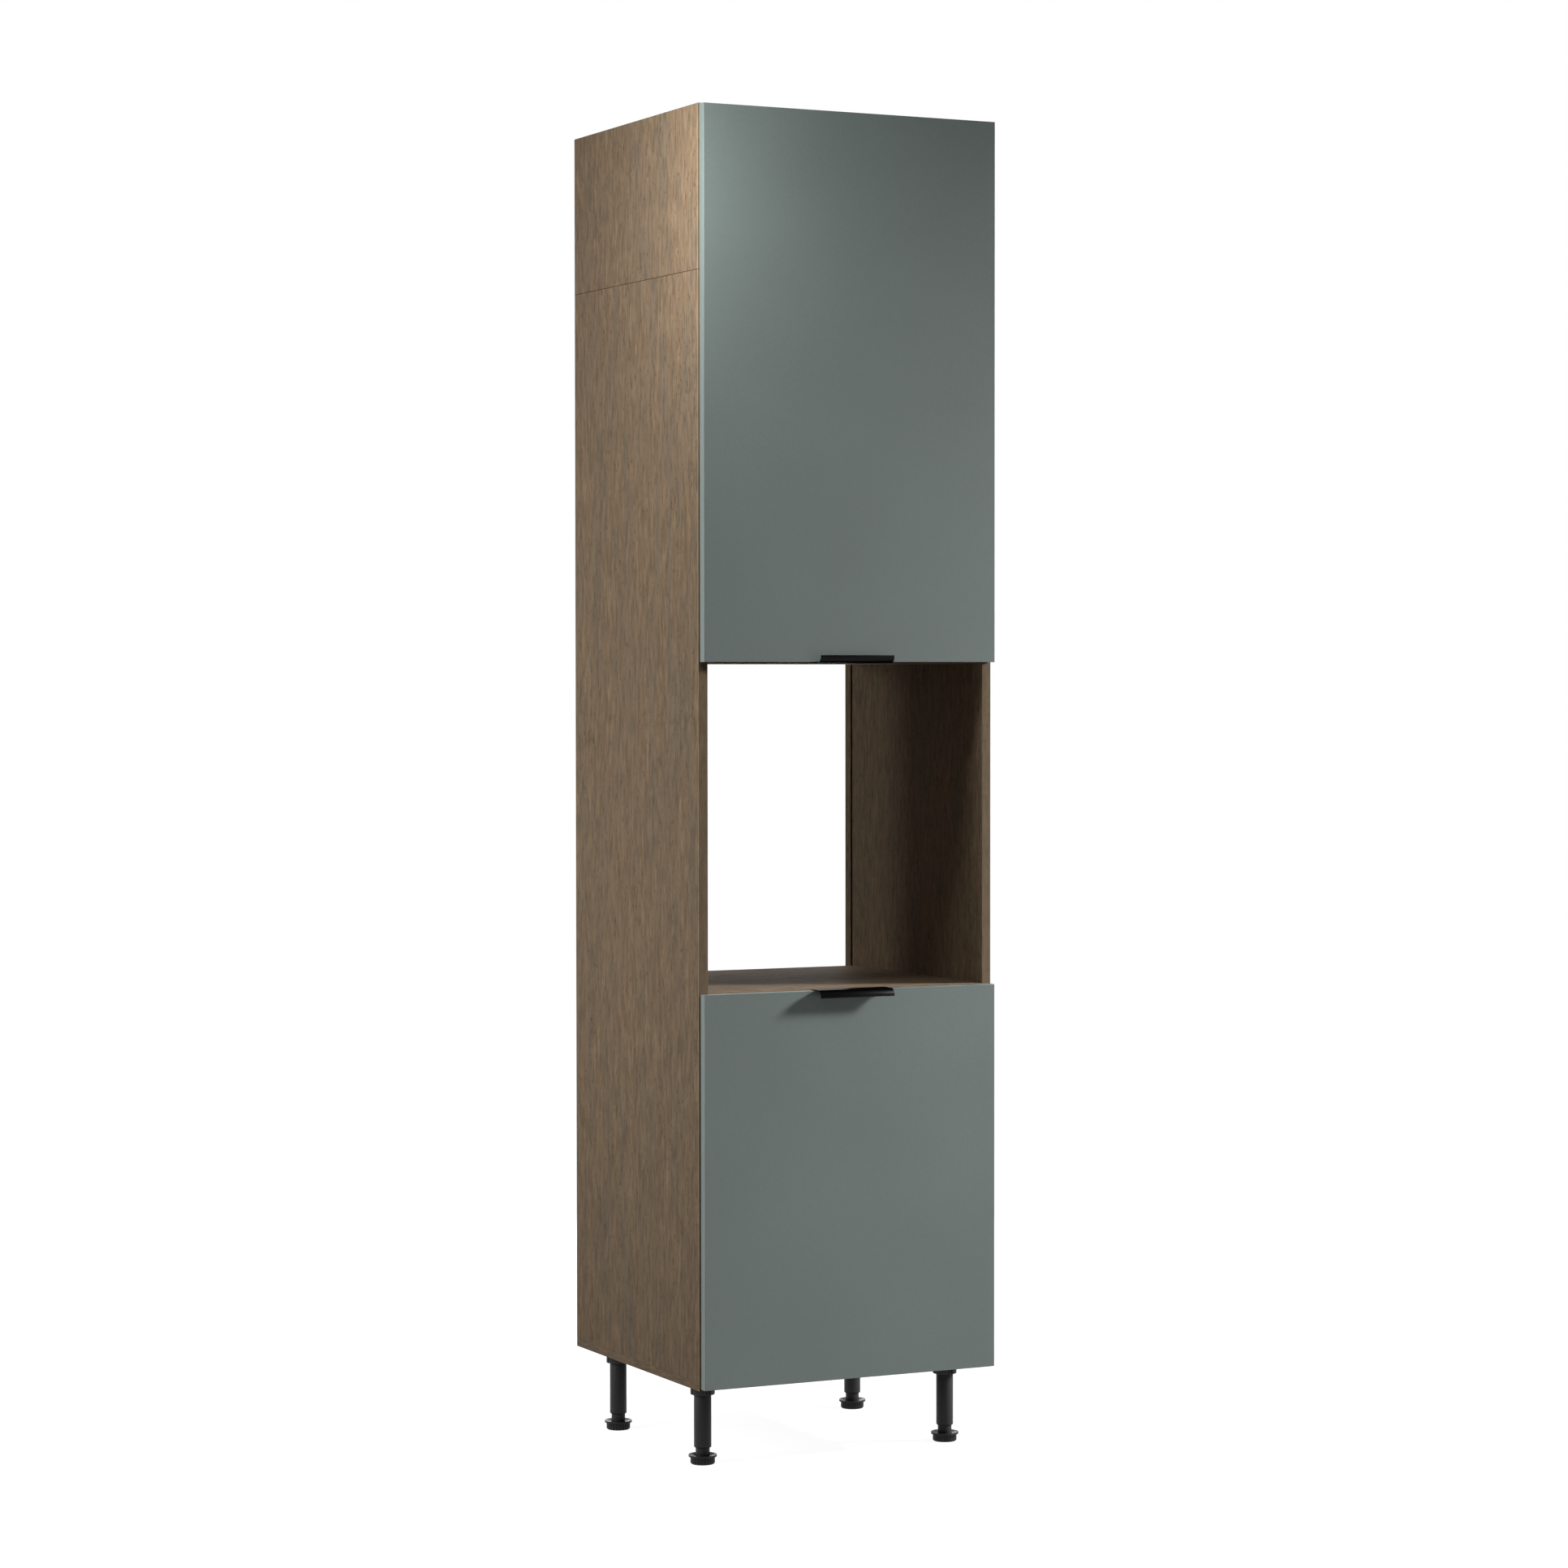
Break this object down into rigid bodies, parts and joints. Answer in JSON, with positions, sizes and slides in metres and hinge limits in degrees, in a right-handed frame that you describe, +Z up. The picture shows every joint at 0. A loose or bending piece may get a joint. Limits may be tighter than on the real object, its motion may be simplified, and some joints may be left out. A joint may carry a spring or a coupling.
{
  "type": "tall microwave housing unit",
  "caption": "Tall kitchen cabinet on adjustable legs with an open microwave niche between two cupboards that have hinged doors with edge handles.",
  "frame": {"origin": "on the floor, at the centre of the box that the unit takes up", "axes": "+X to the right seen from the front, +Y from the front to the back, +Z up"},
  "size_m": [0.6, 0.604, 2.47],
  "materials": {
    "carcass_decor": "chipboard with a grey-brown oak-grain melamine decor and matching edge band",
    "back_decor": "thin board with the same oak-grain decor",
    "door_foil": "satin grey-green lacquered board",
    "handle_aluminium": "black anodised, satin",
    "leg_plastic": "black moulded plastic, fine satin grain",
    "cam_zinc": "die-cast zinc",
    "beech": "bare beech, fluted",
    "screw_steel": "zinc plated",
    "plate_steel": "zinc plated sheet",
    "hinge_nickel": "nickel plated pressed steel",
    "bumper_plastic": "clear soft plastic"
  },
  "bodies": {
    "root": {"back_panel_screws": "screw_steel", "bottom_panel": "carcass_decor", "bottom_screws": "screw_steel", "cam_bolts": "screw_steel", "cam_housings": "cam_zinc", "hinge_arm_pins": "hinge_nickel", "hinge_arm_screws": "screw_steel", "hinge_arms": "hinge_nickel", "hinge_plate_screws": "screw_steel", "hinge_plates": "hinge_nickel", "leg_socket_front_left": "leg_plastic", "leg_socket_front_right": "leg_plastic", "leg_socket_rear_left": "leg_plastic", "leg_socket_rear_right": "leg_plastic", "leg_socket_screws": "screw_steel", "leg_tube_front_left": "leg_plastic", "leg_tube_front_right": "leg_plastic", "leg_tube_rear_left": "leg_plastic", "leg_tube_rear_right": "leg_plastic", "lower_back_panel": "back_decor", "lower_shelf": "carcass_decor", "niche_ceiling": "carcass_decor", "niche_floor": "carcass_decor", "seam_dowels": "beech", "seam_plate_screws": "screw_steel", "seam_plates": "plate_steel", "shelf_pins": "plate_steel", "side_extension_left": "carcass_decor", "side_extension_right": "carcass_decor", "side_panel_left": "carcass_decor", "side_panel_right": "carcass_decor", "top_panel": "carcass_decor", "upper_back_panel": "back_decor", "upper_shelf_high": "carcass_decor", "upper_shelf_low": "carcass_decor", "wall_bracket_screws": "screw_steel", "wall_brackets": "plate_steel", "wood_dowels": "beech"},
    "lower_outer_links": {"lower_outer_links": "hinge_nickel"},
    "lower_door": {"lower_door": "door_foil", "lower_hinge_cups": "hinge_nickel", "lower_cup_pins": "hinge_nickel", "lower_cup_screws": "screw_steel", "lower_handle": "handle_aluminium", "lower_handle_screws": "screw_steel", "lower_door_bumpers": "bumper_plastic"},
    "lower_inner_links": {"lower_inner_links": "hinge_nickel"},
    "upper_outer_links": {"upper_outer_links": "hinge_nickel"},
    "upper_door": {"upper_door": "door_foil", "upper_hinge_cups": "hinge_nickel", "upper_cup_pins": "hinge_nickel", "upper_cup_screws": "screw_steel", "upper_handle": "handle_aluminium", "upper_handle_screws": "screw_steel", "upper_door_bumpers": "bumper_plastic"},
    "upper_inner_links": {"upper_inner_links": "hinge_nickel"},
    "foot_front_left": {"foot_front_left": "leg_plastic"},
    "foot_front_right": {"foot_front_right": "leg_plastic"},
    "foot_rear_left": {"foot_rear_left": "leg_plastic"},
    "foot_rear_right": {"foot_rear_right": "leg_plastic"}
  },
  "joints": [
    {"name": "lower_outer_links_turn", "type": "hinge", "parent": "root", "child": "lower_outer_links", "pos_m": [0.2653, -0.245, 0.5115], "axis": [0, 0, 1], "range_deg": [-31.5, 0]},
    {"name": "lower_door_swing", "type": "hinge", "parent": "lower_outer_links", "child": "lower_door", "pos_m": [0.2875, -0.2624, 0.5115], "axis": [0, 0, 1], "range_deg": [0, 126.35]},
    {"name": "lower_inner_links_turn", "type": "hinge", "parent": "root", "child": "lower_inner_links", "pos_m": [0.2637, -0.2684, 0.5115], "axis": [0, 0, 1], "range_deg": [-39.6, 0]},
    {"name": "upper_outer_links_turn", "type": "hinge", "parent": "root", "child": "upper_outer_links", "pos_m": [0.2653, -0.245, 1.968], "axis": [0, 0, 1], "range_deg": [-31.5, 0]},
    {"name": "upper_door_swing", "type": "hinge", "parent": "upper_outer_links", "child": "upper_door", "pos_m": [0.2875, -0.2624, 1.968], "axis": [0, 0, 1], "range_deg": [0, 126.35]},
    {"name": "upper_inner_links_turn", "type": "hinge", "parent": "root", "child": "upper_inner_links", "pos_m": [0.2637, -0.2684, 1.968], "axis": [0, 0, 1], "range_deg": [-39.6, 0]},
    {"name": "foot_front_left_height", "type": "slide", "parent": "root", "child": "foot_front_left", "axis": [0, 0, -1], "range_m": [-0.012, 0.015]},
    {"name": "foot_front_right_height", "type": "slide", "parent": "root", "child": "foot_front_right", "axis": [0, 0, -1], "range_m": [-0.012, 0.015]},
    {"name": "foot_rear_left_height", "type": "slide", "parent": "root", "child": "foot_rear_left", "axis": [0, 0, -1], "range_m": [-0.012, 0.015]},
    {"name": "foot_rear_right_height", "type": "slide", "parent": "root", "child": "foot_rear_right", "axis": [0, 0, -1], "range_m": [-0.012, 0.015]}
  ],
  "couplings": [
    {"joint": "lower_outer_links_turn", "follows": "lower_door_swing", "ratio": -0.24812},
    {"joint": "lower_inner_links_turn", "follows": "lower_door_swing", "ratio": -0.31203},
    {"joint": "upper_outer_links_turn", "follows": "upper_door_swing", "ratio": -0.24812},
    {"joint": "upper_inner_links_turn", "follows": "upper_door_swing", "ratio": -0.31203}
  ]
}
